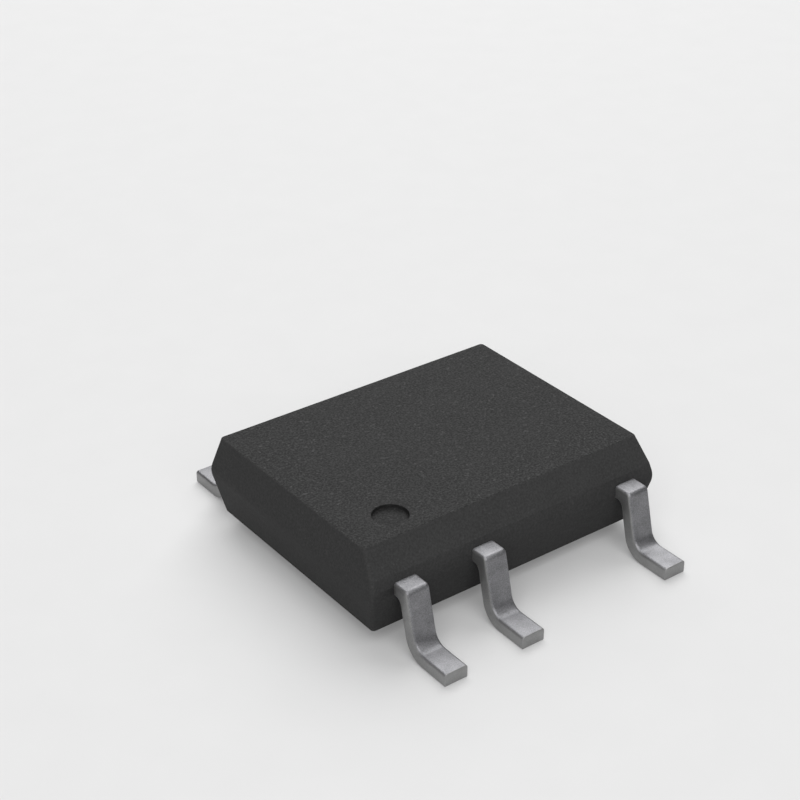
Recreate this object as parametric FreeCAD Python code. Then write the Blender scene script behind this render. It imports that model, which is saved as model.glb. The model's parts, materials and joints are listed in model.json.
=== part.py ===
import FreeCAD, Part
import math
import os

from FreeCAD import Vector

# Small-outline chip: a moulded body on gull-wing leads, in millimetres.
# The seating plane is z = 0, X runs along the body and the pin-1 side faces -Y.

# Lead rows
lead_pitch = 1.27
positions_per_side = 4
single_positions = (1, 2, 4)

# Moulded body, sizes at the parting line taken before its edge is rounded
end_margin = 0.555
body_width = 3.92
standoff = 0.225
lower_height = 0.665
upper_height = 0.555
lower_end_draft = 11.7
lower_side_draft = 14.2
upper_end_draft = 11.3
upper_side_draft = 17.6
bevel_drop = 0.36
bevel_run = 0.265
parting_radius = 0.40
crease_radius = 0.06
corner_radius = 0.06
edge_radius = 0.04

# Round recess that marks pin 1
dot_radius = 0.25
dot_depth = 0.07
dot_from_end = 0.75
dot_from_bevel = 0.435

# Lead strip and its gull-wing form
lead_width = 0.37
lead_thickness = 0.19
lead_edge_radius = 0.045
rounding_cover = 0.15
shoulder_reach = 0.166
leg_angle = 14.0
foot_length = 0.676
shoulder_outer_radius = 0.08
shoulder_inner_radius = 0.10
foot_inner_radius = 0.20
heel_radius = 0.36

# Bond fingers at the inner ends of the single leads
finger_width = 0.60
finger_length = 0.45
finger_cover = 0.36

# Die and the film that holds it
die_length = 1.90
die_width = 1.30
die_thickness = 0.20
die_centre_y = 0.125
attach_thickness = 0.03
attach_margin = 0.06

# Die pad, set below the leads, with the rail that joins it to its four leads
pad_margin_x = 0.70
pad_margin_y = 0.375
pad_downset = 0.25
rail_depth = 0.35
downset_angle = 45.0
downset_radius = 0.10

# Bond wires
wire_diameter = 0.05
ball_diameter = 0.11
ball_height = 0.03
loop_rise = 0.22
loop_turn = 0.07
bond_inset = 0.12
bond_pitch = 0.45
down_bond_reach = 0.35


def run_at(height, angle):
    """Distance that a face leaning by an angle from upright moves over a height."""
    return height * math.tan(math.radians(angle))


# Heights of the moulding, and the distances of its edges from its middle
parting_z = standoff + lower_height
body_top_z = parting_z + upper_height
body_length = (positions_per_side - 1) * lead_pitch + 2 * end_margin
bottom_x = body_length / 2 - run_at(lower_height, lower_end_draft)
top_x = body_length / 2 - run_at(upper_height, upper_end_draft)
bottom_y = body_width / 2 - run_at(lower_height, lower_side_draft)
top_y = body_width / 2 - run_at(upper_height, upper_side_draft)
crease_y = body_width / 2 - run_at(upper_height - bevel_drop, upper_side_draft)
bevel_y = crease_y - bevel_run

# Places of the inner pieces
pad_z = parting_z - pad_downset
pad_top_z = pad_z + lead_thickness / 2
die_bottom_z = pad_top_z + attach_thickness
die_top_z = die_bottom_z + die_thickness
pad_length = die_length + 2 * pad_margin_x
pad_width = die_width + 2 * pad_margin_y
pad_back_y = die_centre_y + pad_width / 2
finger_y = body_width / 2 - finger_cover - finger_length / 2
covered_y = body_width / 2 - rounding_cover

# Smallest length that counts as more than nothing
tiny = 1e-6


def position_x(position):
    """Place along X of a lead position, counted from the pin-1 end."""
    return (position - (positions_per_side + 1) / 2) * lead_pitch


def rounded_run(corners):
    """Straight runs and tangent arcs through (point, radius) corners, ends included."""
    edges = []
    from_point = corners[0][0]
    for index in range(1, len(corners) - 1):
        corner, radius = corners[index]
        before = (corners[index - 1][0] - corner).normalize()
        after = (corners[index + 1][0] - corner).normalize()
        half_angle = before.getAngle(after) / 2
        reach = radius / math.tan(half_angle)
        arc_start = corner + before * reach
        arc_end = corner + after * reach
        edges.append(Part.LineSegment(from_point, arc_start).toShape())
        if radius > 0:
            inward = (before + after).normalize()
            middle = corner + inward * (radius / math.sin(half_angle) - radius)
            edges.append(Part.Arc(arc_start, middle, arc_end).toShape())
        from_point = arc_end
    edges.append(Part.LineSegment(from_point, corners[-1][0]).toShape())
    return edges


def rounded_face(corners):
    """Flat face whose outline runs through (point, radius) corners."""
    first, last = corners[0][0], corners[-1][0]
    seam = (first + last) / 2
    return Part.Face(Part.Wire(rounded_run([(seam, 0)] + corners + [(seam, 0)])))


def plate(length, width, thickness, centre_x, centre_y, bottom_z):
    """Flat rectangular plate centred on a point of the plan."""
    corner = Vector(centre_x - length / 2, centre_y - width / 2, bottom_z)
    return Part.makeBox(length, width, thickness, corner)


def offset_path(path, distance):
    """Points of an open path of (y, z) pairs moved sideways, with mitred corners."""
    points = [Vector(0, y, z) for y, z in path]
    runs = [(end - start).normalize() for start, end in zip(points, points[1:])]
    moved = []
    for point, before, after in zip(points, runs[:1] + runs, runs + runs[-1:]):
        along = (before + after).normalize()
        sideways = Vector(0, -along.z, along.y)
        moved.append(point + sideways * (distance / math.cos(before.getAngle(after) / 2)))
    return moved


def bent_strip(path, upper_radii, lower_radii, rolled_radius):
    """Lead stock bent along a path of (y, z) pairs, its upper long edges rolled over."""
    upper = list(zip(offset_path(path, lead_thickness / 2), upper_radii))
    lower = list(zip(offset_path(path, -lead_thickness / 2), lower_radii))[::-1]
    upper_edges = rounded_run(upper)
    tip = Part.LineSegment(upper[-1][0], lower[0][0]).toShape()
    root = Part.LineSegment(lower[-1][0], upper[0][0]).toShape()
    outline = Part.Wire(upper_edges + [tip] + rounded_run(lower) + [root])
    outline.translate(Vector(-lead_width / 2, 0, 0))
    strip = Part.Face(outline).extrude(Vector(lead_width, 0, 0))
    if rolled_radius == 0:
        return strip
    rolled = []
    for edge in strip.Edges:
        centre = edge.CenterOfMass
        for upper_edge in upper_edges:
            gap = centre - upper_edge.CenterOfMass
            if math.hypot(gap.y, gap.z) < tiny:
                rolled.append(edge)
    return strip.makeFillet(rolled_radius, rolled)


def gull_wing():
    """Lead from just inside the moulding, over its shoulder and down to its foot."""
    foot_z = lead_thickness / 2
    shoulder_y = body_width / 2 + shoulder_reach
    foot_y = shoulder_y + run_at(parting_z - foot_z, leg_angle)
    path = [(covered_y, parting_z), (shoulder_y, parting_z),
            (foot_y, foot_z), (foot_y + foot_length, foot_z)]
    return bent_strip(path, [0, shoulder_outer_radius, foot_inner_radius, 0],
                      [0, shoulder_inner_radius, heel_radius, 0], lead_edge_radius)


def single_lead(position):
    """Lead of its own on the pin-1 side, with the finger that takes its bond wire."""
    bottom_z = parting_z - lead_thickness / 2
    neck = plate(lead_width, covered_y - finger_y, lead_thickness,
                 0, (covered_y + finger_y) / 2, bottom_z)
    finger = plate(finger_width, finger_length, lead_thickness, 0, finger_y, bottom_z)
    lead = gull_wing().fuse([neck, finger]).removeSplitter()
    lead.rotate(Vector(0, 0, 0), Vector(0, 0, 1), 180)
    lead.translate(Vector(position_x(position), 0, 0))
    return lead.Solids[0]


def pad_lead_frame():
    """Die pad with its rail and four leads, stamped and bent as one piece."""
    ramp_y = pad_back_y + pad_downset / math.tan(math.radians(downset_angle))
    path = [(pad_back_y - rail_depth / 2, pad_z), (pad_back_y, pad_z),
            (ramp_y, parting_z), (covered_y, parting_z)]
    outer_radius = downset_radius + lead_thickness
    strap = bent_strip(path, [0, downset_radius, outer_radius, 0],
                       [0, outer_radius, downset_radius, 0], 0)
    bottom_z = pad_z - lead_thickness / 2
    rail_length = (positions_per_side - 1) * lead_pitch + lead_width
    pieces = [plate(rail_length, rail_depth, lead_thickness,
                    0, pad_back_y - rail_depth / 2, bottom_z)]
    for position in range(1, positions_per_side + 1):
        lead = strap.fuse(gull_wing())
        lead.translate(Vector(position_x(position), 0, 0))
        pieces.append(lead)
    pad = plate(pad_length, pad_width, lead_thickness, 0, die_centre_y, bottom_z)
    return pad.fuse(pieces).removeSplitter().Solids[0]


def bond_wire(start, end, carrier):
    """Wire from its ball on the die, up and over in a kinked loop, down to its carrier."""
    along = Vector(end.x - start.x, end.y - start.y, 0).normalize()
    neck_top = start + Vector(0, 0, loop_rise - loop_turn)
    kink = start + Vector(0, 0, loop_rise) + along * loop_turn
    path = Part.makePolygon([start, neck_top, kink, end])
    section = Part.Wire([Part.Circle(start, Vector(0, 0, 1), wire_diameter / 2).toShape()])
    mitred = 1
    tube = path.makePipeShell([section], True, False, mitred).cut(carrier)
    ball = Part.makeCylinder(ball_diameter / 2, ball_height, start)
    return tube.fuse(ball).removeSplitter().Solids[0]


def side_section():
    """Outline of the body seen along its length, with the bevel on the pin-1 side."""
    corners = [
        (-bottom_y, standoff, 0),
        (bottom_y, standoff, 0),
        (body_width / 2, parting_z, parting_radius),
        (top_y, body_top_z, 0),
        (-bevel_y, body_top_z, 0),
        (-crease_y, body_top_z - bevel_drop, crease_radius),
        (-body_width / 2, parting_z, parting_radius),
    ]
    return rounded_face([(Vector(0, y, z), radius) for y, z, radius in corners])


def end_section():
    """Outline of the body seen from the pin-1 side."""
    corners = [
        (-bottom_x, standoff, 0),
        (bottom_x, standoff, 0),
        (body_length / 2, parting_z, parting_radius),
        (top_x, body_top_z, 0),
        (-top_x, body_top_z, 0),
        (-body_length / 2, parting_z, parting_radius),
    ]
    return rounded_face([(Vector(x, 0, z), radius) for x, z, radius in corners])


def body_blank():
    """Outer form of the moulding: two drafted sections crossed, corners and edges rounded."""
    side = side_section()
    side.translate(Vector(-body_length, 0, 0))
    end = end_section()
    end.translate(Vector(0, -body_width, 0))
    along_x = side.extrude(Vector(2 * body_length, 0, 0))
    along_y = end.extrude(Vector(0, 2 * body_width, 0))
    blank = along_x.common(along_y)
    upright = [edge for edge in blank.Edges if edge.BoundBox.ZLength > tiny]
    blank = blank.makeFillet(corner_radius, upright)
    rims = []
    for edge in blank.Edges:
        box = edge.BoundBox
        for level in (standoff, body_top_z):
            if abs(box.ZMin - level) < tiny and abs(box.ZMax - level) < tiny:
                rims.append(edge)
    return blank.makeFillet(edge_radius, rims)


def dot_recess():
    """Round flat-bottomed recess beside pin 1."""
    centre = Vector(dot_from_end - top_x, dot_from_bevel - bevel_y, body_top_z - dot_depth)
    return Part.makeCylinder(dot_radius, 2 * dot_depth, centre)


def build_pieces():
    """All pieces of the chip by name, the moulding last because it takes their form."""
    pieces = {"pad_lead_frame": pad_lead_frame()}
    for position in single_positions:
        pieces[f"lead_{position}"] = single_lead(position)

    pieces["die_attach"] = plate(die_length + 2 * attach_margin, die_width + 2 * attach_margin,
                                 attach_thickness, 0, die_centre_y, pad_top_z)
    pieces["die"] = plate(die_length, die_width, die_thickness, 0, die_centre_y, die_bottom_z)

    bond_x = die_length / 2 - bond_inset
    front_y = die_centre_y - die_width / 2 + bond_inset
    back_y = die_centre_y + die_width / 2 - bond_inset
    finger_top_z = parting_z + lead_thickness / 2
    bond_places = {1: -bond_x, 2: bond_pitch - bond_x, 4: bond_x}
    for position in single_positions:
        start = Vector(bond_places[position], front_y, die_top_z)
        end = Vector(position_x(position), -finger_y, finger_top_z)
        pieces[f"wire_to_lead_{position}"] = bond_wire(start, end, pieces[f"lead_{position}"])
    start = Vector(bond_x, back_y, die_top_z)
    end = Vector(die_length / 2 + down_bond_reach, back_y, pad_top_z)
    pieces["wire_to_pad"] = bond_wire(start, end, pieces["pad_lead_frame"])

    inserts = list(pieces.values())
    embedded = inserts[0].fuse(inserts[1:])
    pieces["mould_body"] = body_blank().cut([dot_recess(), embedded]).Solids[0]
    return pieces


os.makedirs("parts", exist_ok=True)
for node, shape in build_pieces().items():
    shape.exportStep(f"parts/{node}.step")
    print(node, "solids", len(shape.Solids), "valid", shape.isValid(),
          "volume", round(shape.Volume, 4))
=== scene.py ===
"""Looks of a small-outline chip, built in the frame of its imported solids.

Sizes are in millimetres, and a shape is turned to metres once, where its solid becomes a piece. The
seating plane is z = 0, X runs along the moulding and the pin-1 side faces -Y.
"""

from __future__ import annotations

import json
import logging
import math
from abc import ABC, abstractmethod
from dataclasses import dataclass
from enum import Enum

import bmesh
import bpy
import numpy as np
from mathutils import Matrix, Vector

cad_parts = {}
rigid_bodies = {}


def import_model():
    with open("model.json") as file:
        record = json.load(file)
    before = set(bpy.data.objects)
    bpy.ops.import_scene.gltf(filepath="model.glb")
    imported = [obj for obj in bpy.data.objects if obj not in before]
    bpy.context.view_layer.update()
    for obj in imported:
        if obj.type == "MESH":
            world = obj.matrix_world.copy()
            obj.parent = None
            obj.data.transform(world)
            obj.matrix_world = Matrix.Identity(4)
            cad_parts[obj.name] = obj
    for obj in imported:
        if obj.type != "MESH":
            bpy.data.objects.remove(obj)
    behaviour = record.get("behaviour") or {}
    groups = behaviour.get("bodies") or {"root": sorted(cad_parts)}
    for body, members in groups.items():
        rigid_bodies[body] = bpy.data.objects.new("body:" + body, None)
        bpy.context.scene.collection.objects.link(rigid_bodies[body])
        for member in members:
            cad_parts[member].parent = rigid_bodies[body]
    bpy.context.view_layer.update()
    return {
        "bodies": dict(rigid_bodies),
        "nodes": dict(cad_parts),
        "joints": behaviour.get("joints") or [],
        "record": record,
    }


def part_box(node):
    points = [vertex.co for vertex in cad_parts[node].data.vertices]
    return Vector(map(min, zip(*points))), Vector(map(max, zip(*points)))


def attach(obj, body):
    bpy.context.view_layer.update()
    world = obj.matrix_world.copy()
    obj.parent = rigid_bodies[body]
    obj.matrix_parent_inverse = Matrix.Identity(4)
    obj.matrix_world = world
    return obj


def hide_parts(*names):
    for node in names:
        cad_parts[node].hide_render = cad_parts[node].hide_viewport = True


MM = 0.001
BODY = "root"
WHITE = "#ffffff"
# Faces that meet at a larger angle keep a hard edge between them
HARD_EDGE = math.radians(32)
# Step of the grid that the solids' points are set to, in millimetres
FINE_GRID = 1e-5
# Span that nearly all heights of a random grain fall in
GRAIN_SPAN = (0.3, 0.7)
# Colour sockets of the Mix node by number, because its names also stand for other kinds
MIX_SHARE = 0
MIX_FIRST = 6
MIX_SECOND = 7
MIXED_COLOUR = 2

Span = tuple[float, float]

log = logging.getLogger("chip")


# Colours and nodes


def linear(hex_colour: str) -> tuple[float, float, float, float]:
    """Turn an sRGB hex colour to linear light.

    Args:
        hex_colour: A colour such as "#3a3a3c".

    Returns:
        Red, green, blue and alpha, each from 0 to 1.
    """
    written = [int(hex_colour[start:start + 2], 16) / 255 for start in (1, 3, 5)]
    light = [c / 12.92 if c <= 0.04045 else ((c + 0.055) / 1.055) ** 2.4 for c in written]
    return (light[0], light[1], light[2], 1.0)


def per_metre(size_mm: float) -> float:
    """Scale of a pattern whose real repeat is size_mm."""
    return 1 / (size_mm * MM)


def add_node(
    tree: bpy.types.NodeTree,
    kind: str,
    settings: dict[str, object] | None = None,
    inputs: dict[str | int, object] | tuple[object, ...] = (),
) -> bpy.types.Node:
    """Add a node to a tree, with its settings and links.

    Args:
        tree: The tree that gets the node.
        kind: Blender's name of the node's type.
        settings: Values of the node's own properties.
        inputs: What the sockets get, by name or in their order: a value, an output, or a node
            whose first output is meant.

    Returns:
        The new node.
    """
    node = tree.nodes.new(kind)
    for name, value in (settings or {}).items():
        setattr(node, name, value)
    placed = inputs if isinstance(inputs, dict) else dict(enumerate(inputs))
    for name, value in placed.items():
        source = value.outputs[0] if isinstance(value, bpy.types.Node) else value
        if isinstance(source, bpy.types.NodeSocket):
            tree.links.new(source, node.inputs[name])
        else:
            node.inputs[name].default_value = source
    return node


def background_rays(tree: bpy.types.NodeTree) -> bpy.types.Node:
    """Find the rays that show a background: seen by the camera, mirrored or through glass.

    Args:
        tree: The tree of a material or of the world.

    Returns:
        The node that gives 1 for such a ray and 0 for the rays that only carry light.
    """
    path = add_node(tree, "ShaderNodeLightPath")
    mirrored = add_node(tree, "ShaderNodeMath", {"operation": "MAXIMUM"}, (
        path.outputs["Is Glossy Ray"],
        path.outputs["Is Transmission Ray"],
    ))
    return add_node(tree, "ShaderNodeMath", {"operation": "MAXIMUM"}, (
        path.outputs["Is Camera Ray"],
        mirrored,
    ))


@dataclass(frozen=True)
class Grain:
    """Random grain fixed to the object, with finer layers on it.

    The size is the real width of one grain, the sharpness is the strength of the layers, and the
    stretch is how many times longer a grain is along each axis.
    """

    size_mm: float
    layers: float = 2.0
    sharpness: float = 0.5
    stretch: tuple[float, float, float] = (1.0, 1.0, 1.0)

    def lay(self, tree: bpy.types.NodeTree) -> bpy.types.Node:
        """Lay the grain over a material.

        Args:
            tree: The material's tree.

        Returns:
            The node that gives the grain's height, nearly all of it within GRAIN_SPAN.
        """
        place = add_node(tree, "ShaderNodeTexCoord")
        along = add_node(tree, "ShaderNodeMapping", inputs={
            "Vector": place.outputs["Object"],
            "Scale": tuple(1 / times for times in self.stretch),
        })
        return add_node(tree, "ShaderNodeTexNoise", inputs={
            "Vector": along,
            "Scale": per_metre(self.size_mm),
            "Detail": self.layers,
            "Roughness": self.sharpness,
        })


# Finishes


@dataclass(frozen=True)
class Finish(ABC):
    """A surface finish, made as a material from the values of the real one."""

    name: str

    @abstractmethod
    def surface(self, tree: bpy.types.NodeTree) -> dict[str | int, object]:
        """Draw the finish.

        Args:
            tree: The material's tree.

        Returns:
            What the surface shader's sockets get, by name.
        """

    def make(self) -> bpy.types.Material:
        """Make the material of this finish.

        Returns:
            The material, with its nodes linked.
        """
        material = bpy.data.materials.new(self.name)
        material.use_nodes = True
        tree = material.node_tree
        tree.nodes.clear()
        shader = add_node(tree, "ShaderNodeBsdfPrincipled", inputs=self.surface(tree))
        add_node(tree, "ShaderNodeOutputMaterial", inputs={"Surface": shader})
        return material


@dataclass(frozen=True)
class RoundRecess:
    """Place and size of a round recess in a flat top, in millimetres."""

    x: float
    y: float
    top_z: float
    radius: float


@dataclass(frozen=True, kw_only=True)
class MouldedEpoxy(Finish):
    """Black silica-filled epoxy, moulded in a spark-eroded cavity.

    The eroded steel leaves a dull, finely pitted skin, so highlights are wide and weak. The silica
    grains show as a faint fleck in the carbon-black resin. The top is painted darker than the walls
    by the way each face looks, and the recess darker still, both as painted shade.
    """

    recess: RoundRecess
    name: str = "silica_filled_epoxy_moulded"
    resin: str = "#212121"
    filler: str = "#414141"
    fleck: str = "#595959"
    # Real grains are near 0.02 mm, drawn a little coarser so that they show
    grains: Grain = Grain(0.030, 3.0, 0.65)
    grain_ends: Span = (0.35, 0.65)
    grain_contrast: Span = (-0.4, 0.4)
    flecks: Grain = Grain(0.051)
    fleck_ends: Span = (0.62, 0.74)
    fleck_strength: Span = (0.0, 0.40)
    # Share of the filler in the tone, lower on the top and in the recess as painted shade
    top_filler_painted_shade: float = 0.26
    wall_filler: float = 0.66
    recess_painted_shade_filler: float = 0.12
    # The drafted walls are eroded finer, so that the part leaves its cavity
    wall_grain: float = 0.45
    # How far a face looks up or down where its grain goes from fine to coarse, and its tone to the top's
    # painted shade
    levelness: Span = (0.65, 0.95)
    # How far outside the radius and below the top the recess's painted shade ends, in millimetres
    recess_reach: Span = (0.004, 0.008)
    recess_depth: Span = (0.012, 0.004)
    clouds: Grain = Grain(0.55, 3.0, 0.55)
    cloud_shade: Span = (0.94, 1.06)
    # Eroded pits at their real width, and the slow waves of the cavity's wall
    pits: Grain = Grain(0.045, 3.0, 0.6)
    pit_depth_mm: float = 0.0007
    waves: Grain = Grain(0.40)
    wave_depth_mm: float = 0.0030
    roughness: Span = (0.74, 0.82)
    specular_level: float = 0.17
    refraction: float = 1.55

    def surface(self, tree: bpy.types.NodeTree) -> dict[str | int, object]:
        """Draw the flecked resin and its eroded skin.

        Args:
            tree: The material's tree.

        Returns:
            What the surface shader's sockets get, by name.
        """
        coarse = self.coarseness(tree)
        clouds = self.clouds.lay(tree)
        shade = add_node(tree, "ShaderNodeMapRange", inputs=(
            clouds, *GRAIN_SPAN, *self.cloud_shade,
        ))
        return {
            "Base Color": add_node(tree, "ShaderNodeHueSaturation", inputs={
                "Value": shade,
                "Color": self.tone(tree, coarse),
            }),
            "Roughness": add_node(tree, "ShaderNodeMapRange", inputs=(
                clouds, *GRAIN_SPAN, *self.roughness,
            )),
            "Normal": self.skin(tree, coarse),
            "IOR": self.refraction,
            "Specular IOR Level": self.specular_level,
        }

    def tone(self, tree: bpy.types.NodeTree, coarse: bpy.types.Node) -> bpy.types.NodeSocket:
        """Blend the resin with its filler and flecks, with painted shade on the top and in the recess.

        Args:
            tree: The material's tree.
            coarse: How coarsely the face is eroded.

        Returns:
            The colour.
        """
        # Painted shade: faces that look up get less filler than the walls, so the top is darker
        facing_shade = add_node(tree, "ShaderNodeMapRange", inputs=(
            coarse, self.wall_grain, 1.0, self.wall_filler, self.top_filler_painted_shade,
        ))
        # Painted shade: the recess gets less filler still, so it is darker
        painted_share = add_node(tree, "ShaderNodeMapRange", inputs=(
            self.recess_shade_mask(tree), 0.0, 1.0, facing_shade, self.recess_painted_shade_filler,
        ))
        grains = add_node(tree, "ShaderNodeMapRange", inputs=(
            self.grains.lay(tree), *self.grain_ends, *self.grain_contrast,
        ))
        filled = add_node(tree, "ShaderNodeMath", {"operation": "MULTIPLY_ADD"}, (grains, coarse, painted_share))
        body = add_node(tree, "ShaderNodeMix", {"data_type": "RGBA"}, {
            MIX_SHARE: filled,
            MIX_FIRST: linear(self.resin),
            MIX_SECOND: linear(self.filler),
        })
        flecks = add_node(tree, "ShaderNodeMapRange", inputs=(
            self.flecks.lay(tree), *self.fleck_ends, *self.fleck_strength,
        ))
        shown = add_node(tree, "ShaderNodeMath", {"operation": "MULTIPLY"}, (flecks, coarse))
        flecked = add_node(tree, "ShaderNodeMix", {"data_type": "RGBA"}, {
            MIX_SHARE: shown,
            MIX_FIRST: body.outputs[MIXED_COLOUR],
            MIX_SECOND: linear(self.fleck),
        })
        return flecked.outputs[MIXED_COLOUR]

    def skin(self, tree: bpy.types.NodeTree, coarse: bpy.types.Node) -> bpy.types.Node:
        """Raise the slow waves of the skin and its eroded pits.

        Args:
            tree: The material's tree.
            coarse: How coarsely the face is eroded.

        Returns:
            The node that gives the surface's normal.
        """
        wavy = add_node(tree, "ShaderNodeBump", inputs={
            "Strength": 1.0,
            "Distance": self.wave_depth_mm * MM,
            "Height": self.waves.lay(tree),
        })
        pits = add_node(tree, "ShaderNodeMath", {"operation": "MULTIPLY"}, (self.pits.lay(tree), coarse))
        return add_node(tree, "ShaderNodeBump", inputs={
            "Strength": 1.0,
            "Distance": self.pit_depth_mm * MM,
            "Height": pits,
            "Normal": wavy,
        })

    def coarseness(self, tree: bpy.types.NodeTree) -> bpy.types.Node:
        """Find how coarsely a face is eroded, from the way it faces, which also sets the top's painted
        shade.

        Args:
            tree: The material's tree.

        Returns:
            The node that gives 1 on the flat top and bottom and wall_grain on the drafted walls.
        """
        place = add_node(tree, "ShaderNodeTexCoord")
        facing = add_node(tree, "ShaderNodeSeparateXYZ", inputs=(place.outputs["Normal"],))
        level = add_node(tree, "ShaderNodeMath", {"operation": "ABSOLUTE"}, (facing.outputs["Z"],))
        return add_node(tree, "ShaderNodeMapRange", inputs=(level, *self.levelness, self.wall_grain, 1.0))

    def recess_shade_mask(self, tree: bpy.types.NodeTree) -> bpy.types.Node:
        """Find the wall and the floor of the recess by their place, where it is painted darker as painted
        shade.

        Args:
            tree: The material's tree.

        Returns:
            The node that gives 1 in the recess and 0 elsewhere.
        """
        place = add_node(tree, "ShaderNodeTexCoord").outputs["Object"]
        plan = add_node(tree, "ShaderNodeVectorMath", {"operation": "MULTIPLY"}, (place, (1.0, 1.0, 0.0)))
        away = add_node(tree, "ShaderNodeVectorMath", {"operation": "DISTANCE"}, (
            plan, (self.recess.x * MM, self.recess.y * MM, 0.0),
        ))
        reach = [(self.recess.radius + further) * MM for further in self.recess_reach]
        inside = add_node(tree, "ShaderNodeMapRange", inputs=(away.outputs["Value"], *reach, 1.0, 0.0))
        height = add_node(tree, "ShaderNodeSeparateXYZ", inputs=(place,)).outputs["Z"]
        depth = [(self.recess.top_z - deeper) * MM for deeper in self.recess_depth]
        below = add_node(tree, "ShaderNodeMapRange", inputs=(height, *depth, 1.0, 0.0))
        return add_node(tree, "ShaderNodeMath", {"operation": "MULTIPLY"}, (inside, below))


@dataclass(frozen=True)
class MatteTin(Finish):
    """Matte tin, plated on a stamped copper lead frame.

    Tin plated without brightener grows as fine grains, which scatter the light to a soft grey
    satin on the rolled faces. The punched side walls and the trimmed tips are torn coarser, so
    they look duller and more even from every side.
    """

    name: str = "matte_tin_plated"
    tin: str = "#6b6b6d"
    tin_light: str = "#a7a7aa"
    torn: str = "#8b8b8b"
    torn_light: str = "#acacac"
    # Plated grains are about 0.005 mm, drawn as coarse as they need to show
    crystals: Grain = Grain(0.016, 3.0, 0.7)
    # Share of the crystals in the tone, of which the clouds have the rest
    crystal_share: float = 0.7
    crystal_depth_mm: float = 0.0012
    clouds: Grain = Grain(0.22, 3.0, 0.6)
    # Tearing leaves scores across the thickness of the strip
    scores: Grain = Grain(0.035, stretch=(1.0, 1.0, 4.0))
    score_depth_mm: float = 0.0016
    roughness: float = 0.50
    cut_roughness: float = 0.54
    uneven_roughness: Span = (-0.05, 0.06)
    # Distance from the middle along Y over which the trimmed tips begin, in millimetres
    tips_from: Span = (2.985, 2.993)
    # How far a face looks along X where it goes from rolled to punched
    sidewaysness: Span = (0.60, 0.90)

    def surface(self, tree: bpy.types.NodeTree) -> dict[str | int, object]:
        """Draw the plated faces and the torn ones.

        Args:
            tree: The material's tree.

        Returns:
            What the surface shader's sockets get, by name.
        """
        crystals = self.crystals.lay(tree)
        cut = self.cut_faces(tree)
        dull = add_node(tree, "ShaderNodeMapRange", inputs=(
            cut, 0.0, 1.0, self.roughness, self.cut_roughness,
        ))
        uneven = add_node(tree, "ShaderNodeMapRange", inputs=(
            crystals, *GRAIN_SPAN, *self.uneven_roughness,
        ))
        return {
            "Base Color": self.tone(tree, crystals, cut),
            "Roughness": add_node(tree, "ShaderNodeMath", {"operation": "ADD"}, (dull, uneven)),
            "Normal": self.relief(tree, crystals, cut),
            "Metallic": 1.0,
        }

    def tone(
        self,
        tree: bpy.types.NodeTree,
        crystals: bpy.types.Node,
        cut: bpy.types.Node,
    ) -> bpy.types.NodeSocket:
        """Blend dark and light tin by its crystals and clouds.

        Args:
            tree: The material's tree.
            crystals: The plated crystals.
            cut: Where the strip was cut.

        Returns:
            The colour.
        """
        clouds = self.clouds.lay(tree)
        fine = add_node(tree, "ShaderNodeMapRange", inputs=(
            crystals, *GRAIN_SPAN, 0.0, self.crystal_share,
        ))
        slow = add_node(tree, "ShaderNodeMapRange", inputs=(
            clouds, *GRAIN_SPAN, 0.0, 1 - self.crystal_share,
        ))
        light = add_node(tree, "ShaderNodeMath", {"operation": "ADD"}, (fine, slow))
        plated = add_node(tree, "ShaderNodeMix", {"data_type": "RGBA"}, {
            MIX_SHARE: light,
            MIX_FIRST: linear(self.tin),
            MIX_SECOND: linear(self.tin_light),
        })
        torn = add_node(tree, "ShaderNodeMix", {"data_type": "RGBA"}, {
            MIX_SHARE: light,
            MIX_FIRST: linear(self.torn),
            MIX_SECOND: linear(self.torn_light),
        })
        either = add_node(tree, "ShaderNodeMix", {"data_type": "RGBA"}, {
            MIX_SHARE: cut,
            MIX_FIRST: plated.outputs[MIXED_COLOUR],
            MIX_SECOND: torn.outputs[MIXED_COLOUR],
        })
        return either.outputs[MIXED_COLOUR]

    def relief(
        self,
        tree: bpy.types.NodeTree,
        crystals: bpy.types.Node,
        cut: bpy.types.Node,
    ) -> bpy.types.Node:
        """Score the cut faces, and raise the crystals on all of them.

        Args:
            tree: The material's tree.
            crystals: The plated crystals.
            cut: Where the strip was cut.

        Returns:
            The node that gives the surface's normal.
        """
        scored = add_node(tree, "ShaderNodeMath", {"operation": "MULTIPLY"}, (self.scores.lay(tree), cut))
        torn = add_node(tree, "ShaderNodeBump", inputs={
            "Strength": 1.0,
            "Distance": self.score_depth_mm * MM,
            "Height": scored,
        })
        return add_node(tree, "ShaderNodeBump", inputs={
            "Strength": 1.0,
            "Distance": self.crystal_depth_mm * MM,
            "Height": crystals,
            "Normal": torn,
        })

    def cut_faces(self, tree: bpy.types.NodeTree) -> bpy.types.Node:
        """Find the trimmed tips by their place along Y, and the punched side walls by how they face.

        Args:
            tree: The material's tree.

        Returns:
            The node that gives 1 on the cut faces and 0 on the rolled ones.
        """
        place = add_node(tree, "ShaderNodeTexCoord")
        axes = add_node(tree, "ShaderNodeSeparateXYZ", inputs=(place.outputs["Object"],))
        reach = add_node(tree, "ShaderNodeMath", {"operation": "ABSOLUTE"}, (axes.outputs["Y"],))
        tips = [distance * MM for distance in self.tips_from]
        trimmed = add_node(tree, "ShaderNodeMapRange", inputs=(reach, *tips, 0.0, 1.0))
        facing = add_node(tree, "ShaderNodeSeparateXYZ", inputs=(place.outputs["Normal"],))
        sideways = add_node(tree, "ShaderNodeMath", {"operation": "ABSOLUTE"}, (facing.outputs["X"],))
        punched = add_node(tree, "ShaderNodeMapRange", inputs=(sideways, *self.sidewaysness, 0.0, 1.0))
        return add_node(tree, "ShaderNodeMath", {"operation": "MAXIMUM"}, (trimmed, punched))


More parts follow.
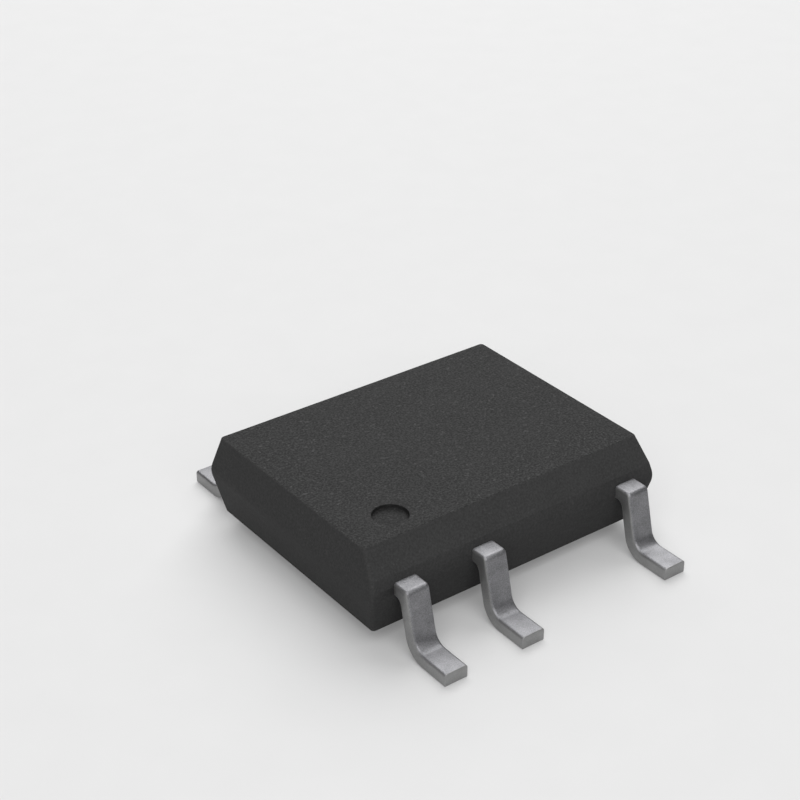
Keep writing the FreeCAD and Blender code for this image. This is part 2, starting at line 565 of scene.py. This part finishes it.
@dataclass(frozen=True)
class SilverAdhesive(Finish):
    """Silver-flake epoxy, dispensed under the die and cured.

    The flakes lie every way in clear resin, which gives a dull metallic grey paste.
    """

    name: str = "silver_filled_adhesive_cured"
    resin: str = "#77756f"
    flake: str = "#c9c7c1"
    # Flakes are about 0.012 mm across
    flakes: Grain = Grain(0.012, 2.0, 0.6)
    flake_ends: Span = (0.45, 0.60)
    flake_depth_mm: float = 0.001
    roughness: float = 0.5

    def surface(self, tree: bpy.types.NodeTree) -> dict[str | int, object]:
        """Scatter the flakes in the resin.

        Args:
            tree: The material's tree.

        Returns:
            What the surface shader's sockets get, by name.
        """
        flakes = add_node(tree, "ShaderNodeMapRange", inputs=(
            self.flakes.lay(tree), *self.flake_ends, 0.0, 1.0,
        ))
        paste = add_node(tree, "ShaderNodeMix", {"data_type": "RGBA"}, {
            MIX_SHARE: flakes,
            MIX_FIRST: linear(self.resin),
            MIX_SECOND: linear(self.flake),
        })
        return {
            "Base Color": paste.outputs[MIXED_COLOUR],
            "Metallic": flakes,
            "Roughness": self.roughness,
            "Normal": add_node(tree, "ShaderNodeBump", inputs={
                "Strength": 1.0,
                "Distance": self.flake_depth_mm * MM,
                "Height": flakes,
            }),
        }


@dataclass(frozen=True)
class PolishedSilicon(Finish):
    """Silicon under a clear passivation layer.

    Bare silicon is a dark blue-grey mirror. The wiring under the passivation shows as blocks of
    slightly different tone.
    """

    name: str = "passivated_silicon"
    dark: str = "#2f3442"
    light: str = "#5c6274"
    # Blocks of wiring are about 0.16 mm across
    block_mm: float = 0.16
    roughness: float = 0.18
    refraction: float = 2.0

    def surface(self, tree: bpy.types.NodeTree) -> dict[str | int, object]:
        """Lay the blocks of wiring.

        Args:
            tree: The material's tree.

        Returns:
            What the surface shader's sockets get, by name.
        """
        place = add_node(tree, "ShaderNodeTexCoord")
        blocks = add_node(tree, "ShaderNodeTexVoronoi", {"distance": "CHEBYCHEV"}, {
            "Vector": place.outputs["Object"],
            "Scale": per_metre(self.block_mm),
        })
        wiring = add_node(tree, "ShaderNodeMix", {"data_type": "RGBA"}, {
            MIX_SHARE: add_node(tree, "ShaderNodeRGBToBW", inputs=(blocks.outputs["Color"],)),
            MIX_FIRST: linear(self.dark),
            MIX_SECOND: linear(self.light),
        })
        return {
            "Base Color": wiring.outputs[MIXED_COLOUR],
            "Roughness": self.roughness,
            "IOR": self.refraction,
        }


@dataclass(frozen=True)
class DrawnCopper(Finish):
    """Soft copper wire, drawn through a die.

    Drawing leaves a bright warm skin with fine tone changes along the wire.
    """

    name: str = "copper_wire_drawn"
    bright: str = "#e0a283"
    dull: str = "#b87455"
    # Lines of the drawing are finer than 0.001 mm, drawn as tone changes of 0.02 mm
    streaks: Grain = Grain(0.02)
    roughness: float = 0.28

    def surface(self, tree: bpy.types.NodeTree) -> dict[str | int, object]:
        """Streak the bright skin.

        Args:
            tree: The material's tree.

        Returns:
            What the surface shader's sockets get, by name.
        """
        drawn = add_node(tree, "ShaderNodeMix", {"data_type": "RGBA"}, {
            MIX_SHARE: self.streaks.lay(tree),
            MIX_FIRST: linear(self.dull),
            MIX_SECOND: linear(self.bright),
        })
        return {
            "Base Color": drawn.outputs[MIXED_COLOUR],
            "Roughness": self.roughness,
            "Metallic": 1.0,
        }


@dataclass(frozen=True)
class MattBoard(Finish):
    """Matt white board of the studio floor.

    It takes soft shadows, and looks white where it is seen directly or in a reflection. It glows
    more where the lamps no longer reach, like a board that bends up into a backdrop.
    """

    name: str = "matt_white_board"
    paper: str = "#c6c6c6"
    # Clumps of fibres in the board are about 0.8 mm across
    fibres: Grain = Grain(0.8)
    fibre_shade: Span = (0.985, 1.0)
    roughness: float = 0.9
    specular_level: float = 0.1
    # Glow near the part and where the lamps have faded, and the distances of both in millimetres
    lift: Span = (0.15, 0.80)
    lamps_fade: Span = (30.0, 230.0)

    def surface(self, tree: bpy.types.NodeTree) -> dict[str | int, object]:
        """Draw the paper and its glow.

        Args:
            tree: The material's tree.

        Returns:
            What the surface shader's sockets get, by name.
        """
        shade = add_node(tree, "ShaderNodeMapRange", inputs=(
            self.fibres.lay(tree), *GRAIN_SPAN, *self.fibre_shade,
        ))
        place = add_node(tree, "ShaderNodeTexCoord")
        away = add_node(tree, "ShaderNodeVectorMath", {"operation": "LENGTH"}, (place.outputs["Object"],))
        fade = [distance * MM for distance in self.lamps_fade]
        lift = add_node(tree, "ShaderNodeMapRange", inputs=(away.outputs["Value"], *fade, *self.lift))
        glow = add_node(tree, "ShaderNodeMath", {"operation": "MULTIPLY"}, (background_rays(tree), lift))
        return {
            "Base Color": add_node(tree, "ShaderNodeHueSaturation", inputs={
                "Value": shade,
                "Color": linear(self.paper),
            }),
            "Roughness": self.roughness,
            "Specular IOR Level": self.specular_level,
            "Emission Color": linear(WHITE),
            "Emission Strength": glow,
        }


# Outlines


@dataclass(frozen=True)
class Station:
    """A point of a bent outline, with the direction to its left."""

    point: Vector
    left: Vector


def left_of(direction: Vector) -> Vector:
    """The direction a quarter turn to the left."""
    return Vector((-direction.y, direction.x))


def run_at(height: float, angle: float) -> float:
    """Distance that a face leaning by an angle in degrees moves over a height."""
    return height * math.tan(math.radians(angle))


def offset_path(path: list[Vector], distance: float) -> list[Vector]:
    """Move an open path to its left, with mitred corners.

    Args:
        path: The path's points.
        distance: How far it moves.

    Returns:
        The moved points.
    """
    lefts = [left_of((end - start).normalized()) for start, end in zip(path, path[1:])]
    moved = []
    for point, before, after in zip(path, lefts[:1] + lefts, lefts + lefts[-1:]):
        moved.append(point + (before + after) * (distance / (1 + before.dot(after))))
    return moved


def rounded_path(corners: list[Vector], radii: list[float], steps: int) -> list[Station]:
    """Follow an open path whose inner corners are rounded.

    Args:
        corners: The path's points.
        radii: The radius at each point, unused at the two ends.
        steps: How many steps an arc has.

    Returns:
        The two ends and the points of each arc, in order.
    """
    ways = [(end - start).normalized() for start, end in zip(corners, corners[1:])]
    stations = [Station(corners[0], left_of(ways[0]))]
    for corner, radius, before, after in zip(corners[1:], radii[1:], ways, ways[1:]):
        turn = math.atan2(before.x * after.y - before.y * after.x, before.dot(after))
        reach = math.copysign(radius, turn)
        start = corner - before * abs(reach * math.tan(turn / 2))
        centre = start + left_of(before) * reach
        for step in range(steps + 1):
            left = Matrix.Rotation(turn * step / steps, 2) @ left_of(before)
            stations.append(Station(centre - left * reach, left))
    stations.append(Station(corners[-1], left_of(ways[-1])))
    return stations


# Solids


class Joining(Enum):
    """How one solid is joined with others."""

    UNITED = "UNION"
    CUT_OUT = "DIFFERENCE"


def skin(draft: bmesh.types.BMesh, rings: list[list[Vector]]) -> list[list[bmesh.types.BMVert]]:
    """Lay faces from each ring to the next.

    Args:
        draft: The mesh that gets the faces.
        rings: Rings of as many points each.

    Returns:
        The rings' vertices.
    """
    loops = [[draft.verts.new(point) for point in ring] for ring in rings]
    for lower, upper in zip(loops, loops[1:]):
        for here, there in zip(range(len(lower)), [*range(1, len(lower)), 0]):
            draft.faces.new((lower[here], lower[there], upper[there], upper[here]))
    return loops


def loft(rings: list[list[Vector]]) -> bmesh.types.BMesh:
    """Skin a run of rings and close both of its ends.

    Args:
        rings: Rings of as many points each.

    Returns:
        The closed draft.
    """
    draft = bmesh.new()
    loops = skin(draft, rings)
    draft.faces.new(loops[0])
    draft.faces.new(loops[-1])
    return draft


def rounded_rectangle(low: Vector, high: Vector, z: float, radius: float, steps: int) -> list[Vector]:
    """Points of a level rectangle with round corners.

    Args:
        low: Its lowest corner in the plan.
        high: Its highest corner in the plan.
        z: Its height.
        radius: The corners' radius.
        steps: How many steps a corner has.

    Returns:
        The points, going round once.
    """
    centres = [
        (high.x - radius, high.y - radius),
        (low.x + radius, high.y - radius),
        (low.x + radius, low.y + radius),
        (high.x - radius, low.y + radius),
    ]
    points = []
    for quarter, (x, y) in enumerate(centres):
        for step in range(steps + 1):
            angle = math.radians(90 * (quarter + step / steps))
            points.append(Vector((x + radius * math.cos(angle), y + radius * math.sin(angle), z)))
    return points


def slab(low: Vector, high: Vector, edge: float) -> bmesh.types.BMesh:
    """Flat stamped plate with eased edges.

    Args:
        low: Its lowest corner.
        high: Its highest corner.
        edge: How far its edges are eased.

    Returns:
        The closed draft.
    """
    corner_radius = 2 * edge
    corner_steps = 2
    rings = []
    for z, inset in ((low.z, edge), (low.z + edge, 0), (high.z - edge, 0), (high.z, edge)):
        shift = Vector((inset, inset, 0))
        rings.append(rounded_rectangle(low + shift, high - shift, z, corner_radius, corner_steps))
    return loft(rings)


def solid_from(draft: bmesh.types.BMesh, name: str) -> bpy.types.Object:
    """Turn a draft into an object, still in millimetres.

    Its points are set to one fine grid, so that solids which touch share their faces exactly.

    Args:
        draft: The closed draft, which is used up.
        name: The object's name.

    Returns:
        The object, in the scene.
    """
    for point in draft.verts:
        point.co = Vector(round(value / FINE_GRID) * FINE_GRID for value in point.co)
    bmesh.ops.remove_doubles(draft, verts=draft.verts, dist=FINE_GRID / 2)
    bmesh.ops.recalc_face_normals(draft, faces=draft.faces)
    mesh = bpy.data.meshes.new(name)
    draft.to_mesh(mesh)
    draft.free()
    solid = bpy.data.objects.new(name, mesh)
    bpy.context.scene.collection.objects.link(solid)
    return solid


def join(solid: bpy.types.Object, others: list[bpy.types.Object], way: Joining) -> None:
    """Join a solid with others, which are used up.

    Args:
        solid: The solid that is kept.
        others: What is joined with it.
        way: How.
    """
    for other in others:
        step = solid.modifiers.new(other.name, "BOOLEAN")
        step.operation = way.value
        step.solver = "MANIFOLD"
        step.object = other
    seen = solid.evaluated_get(bpy.context.evaluated_depsgraph_get())
    joined = bpy.data.meshes.new_from_object(seen)
    solid.modifiers.clear()
    solid.data = joined
    for other in others:
        bpy.data.objects.remove(other)


def plug_of(piece: bpy.types.Object) -> bpy.types.Object:
    """Copy a placed piece as a closed plug, in millimetres again.

    Args:
        piece: A piece in place.

    Returns:
        The plug, in the scene.
    """
    draft = bmesh.new()
    draft.from_mesh(piece.data)
    bmesh.ops.transform(draft, matrix=Matrix.Scale(1 / MM, 4) @ piece.matrix_world, verts=draft.verts)
    return solid_from(draft, "plug")


def place_piece(solid: bpy.types.Object, node: str, material: bpy.types.Material) -> None:
    """Make a solid in millimetres the piece that stands for a node.

    Args:
        solid: The finished solid.
        node: The node that it replaces.
        material: Its finish.
    """
    mesh = solid.data
    mesh.transform(Matrix.Scale(MM, 4))
    mesh.polygons.foreach_set("use_smooth", [True] * len(mesh.polygons))
    mesh.set_sharp_from_angle(angle=HARD_EDGE)
    even = solid.modifiers.new("even_shading", "WEIGHTED_NORMAL")
    even.keep_sharp = True
    mesh.materials.clear()
    mesh.materials.append(material)
    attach(solid, BODY)
    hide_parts(node)
    corners = [solid.matrix_world @ Vector(corner) for corner in solid.bound_box]
    made = [max(c[axis] for c in corners) - min(c[axis] for c in corners) for axis in range(3)]
    low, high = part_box(node)
    gaps = [abs(size - (high[axis] - low[axis])) / MM for axis, size in enumerate(made)]
    log.info("%s: %d faces, box within %.3f mm of the frame's", solid.name, len(mesh.polygons), max(gaps))


# Sub-assemblies


@dataclass(frozen=True)
class Package:
    """Main heights and places, read from the frame, in millimetres."""

    bottom_z: float
    top_z: float
    lead_top_z: float
    tip_y: float

    @classmethod
    def from_frame(cls) -> Package:
        """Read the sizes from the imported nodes.

        Returns:
            The sizes.
        """
        low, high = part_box("mould_body")
        lead_low, lead_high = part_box("lead_1")
        return cls(low.z / MM, high.z / MM, lead_high.z / MM, -lead_low.y / MM)


class Row(Enum):
    """The side of the moulding that a lead stands on, as its sign along Y."""

    PIN_ONE = -1
    FAR = 1


@dataclass(frozen=True)
class LeadStock:
    """Stamped strip of the lead frame and the gull-wing form that it is bent to.

    Sizes are in millimetres, and the leg's angle is in degrees from upright.
    """

    package: Package
    width: float = 0.37
    thickness: float = 0.19
    rolled_edge: float = 0.045
    punched_edge: float = 0.020
    tip_edge: float = 0.012
    # Share of its radius that an edge of the strip keeps where the tip is rounded
    edge_left_at_tip: float = 0.2
    leg_angle: float = 14.0
    foot_length: float = 0.676
    # Bend radii of the upper and of the lower face
    shoulder_radii: Span = (0.08, 0.10)
    foot_radii: Span = (0.20, 0.36)
    corner_steps: int = 5
    bend_steps: int = 14
    tip_steps: int = 3

    @property
    def level(self) -> float:
        """Height of the middle of the strip where it leaves the moulding."""
        return self.package.lead_top_z - self.thickness / 2

    def outer_path(self) -> list[Vector]:
        """Lay the strip's middle line from the shoulder to the tip.

        Returns:
            Its points, as distance from the moulding's middle and height.
        """
        foot_z = self.thickness / 2
        foot_s = self.package.tip_y - self.foot_length
        shoulder_s = foot_s - run_at(self.level - foot_z, self.leg_angle)
        return [
            Vector((shoulder_s, self.level)),
            Vector((foot_s, foot_z)),
            Vector((self.package.tip_y, foot_z)),
        ]

    def section(self, top: Station, bottom: Station, inset: float) -> list[tuple[float, Vector]]:
        """Cut through the strip, with its rolled upper and punched lower edges.

        Args:
            top: Station on the upper face.
            bottom: Station on the lower face.
            inset: How far the section is drawn in all round.

        Returns:
            Sideways distance and place in the bending plane of each point.
        """
        half = self.width / 2 - inset
        upper = max(self.rolled_edge - inset, self.edge_left_at_tip * self.rolled_edge)
        lower = max(self.punched_edge - inset, self.edge_left_at_tip * self.punched_edge)
        quarter = []
        for step in range(self.corner_steps + 1):
            angle = math.radians(90) * step / self.corner_steps
            depth = inset + upper - upper * math.cos(angle)
            quarter.append((half - upper + upper * math.sin(angle), top.point - top.left * depth))
        for step in range(self.corner_steps + 1):
            angle = math.radians(90) * step / self.corner_steps
            depth = inset + lower - lower * math.sin(angle)
            quarter.append((half - lower + lower * math.cos(angle), bottom.point + bottom.left * depth))
        return quarter + [(-x, point) for x, point in reversed(quarter)]

    def bend(
        self,
        inner: list[Vector],
        inner_radii: list[tuple[float, float]],
        x: float,
        row: Row,
    ) -> bmesh.types.BMesh:
        """Bend a lead from its inner end to its tip.

        Args:
            inner: Middle line inside the moulding.
            inner_radii: Upper and lower bend radius at each of its points.
            x: Place of the lead along X.
            row: Side of the moulding that it stands on.

        Returns:
            The closed draft.
        """
        path = inner + self.outer_path()
        radii = inner_radii + [self.shoulder_radii, self.foot_radii, (0, 0)]
        halves = []
        for way, radius in ((1, [r[0] for r in radii]), (-1, [r[1] for r in radii])):
            corners = offset_path(path, way * self.thickness / 2)
            halves.append(rounded_path(corners, radius, self.bend_steps))
        rings = [self.section(top, bottom, 0) for top, bottom in zip(halves[0][:-1], halves[1][:-1])]
        for step in range(self.tip_steps + 1):
            angle = math.radians(90) * step / self.tip_steps
            back = Vector((self.tip_edge * (1 - math.sin(angle)), 0))
            ends = [Station(side[-1].point - back, side[-1].left) for side in halves]
            rings.append(self.section(*ends, self.tip_edge * (1 - math.cos(angle))))
        return loft([[Vector((x + w, row.value * p.x, p.y)) for w, p in ring] for ring in rings])


@dataclass(frozen=True)
class SingleLead:
    """Lead of its own on the pin-1 side, with the finger that takes its bond wire."""

    stock: LeadStock
    finish: bpy.types.Material
    position: int
    finger_length: float = 0.45
    eased_edge: float = 0.01

    @property
    def node(self) -> str:
        """Name of the node that the lead stands for."""
        return f"lead_{self.position}"

    def build(self) -> bpy.types.Object:
        """Bend the lead, unite it with its finger and place it.

        Returns:
            The placed lead.
        """
        low, high = (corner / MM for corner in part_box(self.node))
        x = (low.x + high.x) / 2
        inner_s = -high.y + self.finger_length / 2
        start = Vector((inner_s, self.stock.level))
        lead = solid_from(self.stock.bend([start], [(0, 0)], x, Row.PIN_ONE), f"tinned_{self.node}")
        finger_low = Vector((low.x, high.y - self.finger_length, high.z - self.stock.thickness))
        finger = solid_from(slab(finger_low, high, self.eased_edge), "finger")
        join(lead, [finger], Joining.UNITED)
        place_piece(lead, self.node, self.finish)
        return lead


@dataclass(frozen=True)
class PadLeadFrame:
    """Die pad, its rail and the four leads of the far side, stamped and bent as one piece."""

    stock: LeadStock
    finish: bpy.types.Material
    node: str = "pad_lead_frame"
    leads: int = 4
    pad_margin: float = 0.70
    rail_depth: float = 0.35
    ramp_length: float = 0.25
    tight_bend: float = 0.10
    eased_edge: float = 0.01

    def build(self) -> bpy.types.Object:
        """Unite pad, rail and leads, and place them.

        Returns:
            The placed frame.
        """
        low, high = (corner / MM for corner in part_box(self.node))
        die_low, die_high = (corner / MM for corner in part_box("die"))
        pad_top_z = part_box("die_attach")[0].z / MM
        pad_bottom_z = pad_top_z - self.stock.thickness
        # The pad reaches as far on one side of the die as on the other
        back_y = die_low.y + die_high.y - low.y
        pad_low = Vector((die_low.x - self.pad_margin, low.y, pad_bottom_z))
        pad_high = Vector((die_high.x + self.pad_margin, back_y, pad_top_z))
        frame = solid_from(slab(pad_low, pad_high, self.eased_edge), "tinned_pad_lead_frame")
        rail_low = Vector((low.x, back_y - self.rail_depth, pad_bottom_z))
        rail_high = Vector((high.x, back_y, pad_top_z))
        rail = solid_from(slab(rail_low, rail_high, self.eased_edge), "rail")
        join(frame, [rail, *self.straps(low, high, back_y, pad_top_z)], Joining.UNITED)
        place_piece(frame, self.node, self.finish)
        return frame

    def straps(
        self,
        low: Vector,
        high: Vector,
        back_y: float,
        pad_top_z: float,
    ) -> list[bpy.types.Object]:
        """Bend the leads, each with the strap that rises to it from the rail.

        Args:
            low: Lowest corner of the box of the whole frame.
            high: Highest corner of that box.
            back_y: Far edge of the rail.
            pad_top_z: Height of the pad's upper face.

        Returns:
            The bent leads, in the scene.
        """
        pad_z = pad_top_z - self.stock.thickness / 2
        wide_bend = self.tight_bend + self.stock.thickness
        strap = [
            Vector((back_y - self.rail_depth / 2, pad_z)),
            Vector((back_y, pad_z)),
            Vector((back_y + self.ramp_length, self.stock.level)),
        ]
        radii = [(0, 0), (self.tight_bend, wide_bend), (wide_bend, self.tight_bend)]
        first_x = low.x + self.stock.width / 2
        last_x = high.x - self.stock.width / 2
        leads = []
        for place in range(self.leads):
            x = first_x + (last_x - first_x) * place / (self.leads - 1)
            leads.append(solid_from(self.stock.bend(strap, radii, x, Row.FAR), f"strap_{place}"))
        return leads


@dataclass(frozen=True)
class Moulding:
    """Drafted body with its bevel, rounded edges and round pin-1 recess.

    Sizes are in millimetres, and the drafts are in degrees from upright.
    """

    package: Package
    stock: LeadStock
    node: str = "mould_body"
    half_length: float = 2.46
    half_width: float = 1.96
    lower_end_draft: float = 11.7
    lower_side_draft: float = 14.2
    upper_end_draft: float = 11.3
    upper_side_draft: float = 17.6
    bevel_drop: float = 0.36
    bevel_run: float = 0.265
    parting_radius: float = 0.40
    crease_radius: float = 0.03
    corner_radius: float = 0.06
    edge_radius: float = 0.02
    dot_radius: float = 0.25
    dot_depth: float = 0.07
    # Centre of the recess, from the flat top's end and from the bevel's rim
    dot_from_end: float = 0.75
    dot_from_bevel: float = 0.435
    dot_rim: float = 0.010
    dot_foot: float = 0.020
    arc_steps: int = 16
    corner_steps: int = 8
    dot_steps: int = 96
    dot_edge_steps: int = 5
    # Least distance between two level cuts
    closest_rings: float = 0.0015

    def upper_half(self, half: float, draft: float, height: float) -> float:
        """Half size at a height above the parting line."""
        return half - run_at(height, draft)

    def wall(self, half: float, lower_draft: float, upper_draft: float, bevelled: bool) -> np.ndarray:
        """Outline of one wall, from the flat bottom to the flat top.

        Args:
            half: Half size at the parting line before its edge is rounded.
            lower_draft: Lean of the lower half in degrees.
            upper_draft: Lean of the upper half in degrees.
            bevelled: Whether the wall has the bevel.

        Returns:
            Rows of half size and height, going up.
        """
        bottom_z, top_z, parting_z = self.package.bottom_z, self.package.top_z, self.stock.level
        rise = top_z - parting_z
        foot = Vector((half - run_at(parting_z - bottom_z, lower_draft), bottom_z))
        # The first and the last point only give the way of the flat bottom and top
        corners = [foot - Vector((half / 2, 0)), foot, Vector((half, parting_z))]
        radii = [0, self.edge_radius, self.parting_radius]
        if bevelled:
            crease = self.upper_half(half, upper_draft, rise - self.bevel_drop)
            corners.append(Vector((crease, top_z - self.bevel_drop)))
            radii.append(self.crease_radius)
            rim = Vector((crease - self.bevel_run, top_z))
        else:
            rim = Vector((self.upper_half(half, upper_draft, rise), top_z))
        corners += [rim, rim - Vector((half / 2, 0))]
        radii += [self.edge_radius, 0]
        stations = rounded_path(corners, radii, self.arc_steps)[1:-1]
        return np.array([station.point for station in stations])

    def ring(self, z: float, end: np.ndarray, front: np.ndarray, back: np.ndarray) -> list[Vector]:
        """Level cut through the body.

        Args:
            z: Height of the cut.
            end: Outline of the end walls.
            front: Outline of the bevelled wall.
            back: Outline of the wall across from it.

        Returns:
            The cut's points.
        """
        x, front_y, back_y = (float(np.interp(z, wall[:, 1], wall[:, 0])) for wall in (end, front, back))
        depth = min(z - self.package.bottom_z, self.package.top_z - z, self.edge_radius)
        inset = self.edge_radius - math.sqrt(self.edge_radius ** 2 - (self.edge_radius - depth) ** 2)
        radius = self.corner_radius - inset
        return rounded_rectangle(Vector((-x, -front_y)), Vector((x, back_y)), z, radius, self.corner_steps)

    def heights(self, walls: list[np.ndarray]) -> list[float]:
        """Heights of the level cuts, close together where a wall curves.

        Args:
            walls: The walls' outlines.

        Returns:
            The heights, going up.
        """
        kept = [self.package.bottom_z]
        for z in sorted(float(z) for wall in walls for z in wall[:, 1]):
            if z - kept[-1] > self.closest_rings and self.package.top_z - z > self.closest_rings:
                kept.append(z)
        return kept + [self.package.top_z]

    @property
    def dot(self) -> RoundRecess:
        """Set the recess out from the moulding's end and from its bevel.

        Returns:
            Its place and size.
        """
        rise = self.package.top_z - self.stock.level
        crease = self.upper_half(self.half_width, self.upper_side_draft, rise - self.bevel_drop)
        x = self.dot_from_end - self.upper_half(self.half_length, self.upper_end_draft, rise)
        y = self.dot_from_bevel + self.bevel_run - crease
        return RoundRecess(x, y, self.package.top_z, self.dot_radius)

    def recess(self) -> list[list[Vector]]:
        """Turn the outline of the recess about its axis.

        Returns:
            Rings from its rim down to its floor.
        """
        dot = self.dot
        floor_z = dot.top_z - self.dot_depth
        corners = [
            Vector((2 * dot.radius, dot.top_z)),
            Vector((dot.radius, dot.top_z)),
            Vector((dot.radius, floor_z)),
            Vector((0, floor_z)),
        ]
        radii = [0, self.dot_rim, self.dot_foot, 0]
        turns = [2 * math.pi * step / self.dot_steps for step in range(self.dot_steps)]
        rings = []
        for station in rounded_path(corners, radii, self.dot_edge_steps)[1:-1]:
            away, z = station.point
            rings.append([
                Vector((dot.x + away * math.cos(turn), dot.y + away * math.sin(turn), z))
                for turn in turns
            ])
        return rings

    def build(self, inserts: list[bpy.types.Object], finish: bpy.types.Material) -> None:
        """Skin the body, sink its recess, leave room for what it is moulded around and place it.

        Args:
            inserts: The placed pieces that the moulding encloses.
            finish: The moulding's finish.
        """
        end = self.wall(self.half_length, self.lower_end_draft, self.upper_end_draft, False)
        front = self.wall(self.half_width, self.lower_side_draft, self.upper_side_draft, True)
        back = self.wall(self.half_width, self.lower_side_draft, self.upper_side_draft, False)
        draft = bmesh.new()
        levels = self.heights([end, front, back])
        sides = skin(draft, [self.ring(z, end, front, back) for z in levels])
        draft.faces.new(sides[0])
        hole = skin(draft, self.recess())
        draft.faces.new(hole[-1])
        rims = [edge for edge in draft.edges if edge.is_boundary]
        bmesh.ops.triangle_fill(draft, use_beauty=True, edges=rims)
        body = solid_from(draft, "epoxy_moulding")
        core, *others = [plug_of(piece) for piece in inserts]
        join(core, others, Joining.UNITED)
        join(body, [core], Joining.CUT_OUT)
        place_piece(body, self.node, finish)


@dataclass(frozen=True)
class SealedPieces:
    """Die, its adhesive and the bond wires, which keep their own solids inside the moulding.

    The finishes go by the name of the node, and the one named wire is for all bond wires.
    """

    finishes: dict[str, bpy.types.Material]

    def dress(self, nodes: dict[str, bpy.types.Object]) -> list[bpy.types.Object]:
        """Give each sealed node its finish.

        Args:
            nodes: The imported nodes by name.

        Returns:
            The sealed nodes.
        """
        sealed = []
        for name, node in nodes.items():
            kind = "wire" if name.startswith("wire") else name
            if kind in self.finishes:
                node.data.materials.clear()
                node.data.materials.append(self.finishes[kind])
                sealed.append(node)
                log.info("%s: dressed as %s", name, self.finishes[kind].name)
        return sealed


# Studio


@dataclass(frozen=True)
class Softbox:
    """Soft lamp, with its place and size in millimetres.

    Its glow is how bright its face is, whatever its size.
    """

    name: str
    place: tuple[float, float, float]
    size: tuple[float, float]
    glow: float

    def hang(self, aim: Vector) -> None:
        """Hang the lamp and turn it to the part.

        Args:
            aim: The point that it faces, in millimetres.
        """
        lamp = bpy.data.lights.new(self.name, "AREA")
        lamp.shape = "RECTANGLE"
        lamp.size, lamp.size_y = (side * MM for side in self.size)
        lamp.energy = self.glow * math.pi * lamp.size * lamp.size_y
        holder = bpy.data.objects.new(self.name, lamp)
        holder.location = Vector(self.place) * MM
        holder.rotation_euler = (aim - Vector(self.place)).to_track_quat("-Z", "Y").to_euler()
        bpy.context.scene.collection.objects.link(holder)


@dataclass(frozen=True)
class Studio:
    """Pale floor, soft lamps and the camera, in millimetres and degrees."""

    floor_size: float = 900.0
    floor_cells: int = 8
    # Keeps the floor's face clear of the feet's
    floor_gap: float = 0.002
    # Strength of the room as even light, and where it is seen or mirrored
    room_light: float = 0.05
    room_shine: float = 0.08
    lamps: tuple[Softbox, ...] = (
        Softbox("rear_softbox", (33.3, 44.3, 71.6), (100.0, 100.0), 3.0),
        Softbox("key_softbox", (-28.9, -50.1, 69.6), (100.0, 100.0), 2.2),
        Softbox("side_softbox", (-77.9, 0.0, 45.7), (100.0, 100.0), 0.24),
    )
    lamps_aim: tuple[float, float, float] = (0.0, 0.0, 0.7)
    azimuth: float = -36.742
    elevation: float = 29.758
    distance: float = 25.111
    picture_centre: tuple[float, float, float] = (0.179, 0.974, 1.552)
    lens: float = 78.82
    sensor_width: float = 36.0
    seen_from: float = 0.5
    seen_to: float = 2000.0

    def lay_floor(self) -> None:
        """Lay the floor under the part."""
        draft = bmesh.new()
        cells = self.floor_cells
        bmesh.ops.create_grid(draft, x_segments=cells, y_segments=cells, size=self.floor_size / 2)
        bmesh.ops.translate(draft, vec=(0, 0, -self.floor_gap), verts=draft.verts)
        floor = solid_from(draft, "studio_floor")
        floor.data.transform(Matrix.Scale(MM, 4))
        floor.data.materials.append(MattBoard().make())

    def light(self) -> None:
        """Light the room evenly and hang the lamps."""
        world = bpy.data.worlds.new("studio_room")
        world.use_nodes = True
        tree = world.node_tree
        tree.nodes.clear()
        shine = add_node(tree, "ShaderNodeMapRange", inputs=(
            background_rays(tree), 0.0, 1.0, self.room_light, self.room_shine,
        ))
        room = add_node(tree, "ShaderNodeBackground", inputs={"Color": linear(WHITE), "Strength": shine})
        add_node(tree, "ShaderNodeOutputWorld", inputs={"Surface": room})
        bpy.context.scene.world = world
        for lamp in self.lamps:
            lamp.hang(Vector(self.lamps_aim))

    def set_camera(self) -> None:
        """Set the camera at the picture's angle and framing."""
        camera = bpy.data.cameras.new("camera")
        camera.lens = self.lens
        camera.sensor_width = self.sensor_width
        camera.clip_start = self.seen_from * MM
        camera.clip_end = self.seen_to * MM
        stand = bpy.data.objects.new("camera", camera)
        tilt, turn = math.radians(90 - self.elevation), math.radians(self.azimuth)
        stand.rotation_euler = (tilt, 0, turn)
        back = Vector((math.sin(turn) * math.sin(tilt), -math.cos(turn) * math.sin(tilt), math.cos(tilt)))
        stand.location = (Vector(self.picture_centre) + back * self.distance) * MM
        bpy.context.scene.collection.objects.link(stand)
        bpy.context.scene.camera = stand

    def set_up(self) -> None:
        """Set up the floor, the light and the camera, and keep the plain view."""
        self.lay_floor()
        self.light()
        self.set_camera()
        bpy.context.scene.view_settings.view_transform = "Standard"


def main() -> None:
    """Dress every node of the frame and set up the studio."""
    logging.basicConfig(level=logging.INFO, format="%(name)s: %(message)s")
    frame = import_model()
    package = Package.from_frame()
    stock = LeadStock(package)
    tin = MatteTin().make()
    inserts = [SingleLead(stock, tin, position).build() for position in (1, 2, 4)]
    inserts.append(PadLeadFrame(stock, tin).build())
    inserts += SealedPieces({
        "die": PolishedSilicon().make(),
        "die_attach": SilverAdhesive().make(),
        "wire": DrawnCopper().make(),
    }).dress(frame["nodes"])
    moulding = Moulding(package, stock)
    moulding.build(inserts, MouldedEpoxy(recess=moulding.dot).make())
    Studio().set_up()


if __name__ == "__main__":
    main()
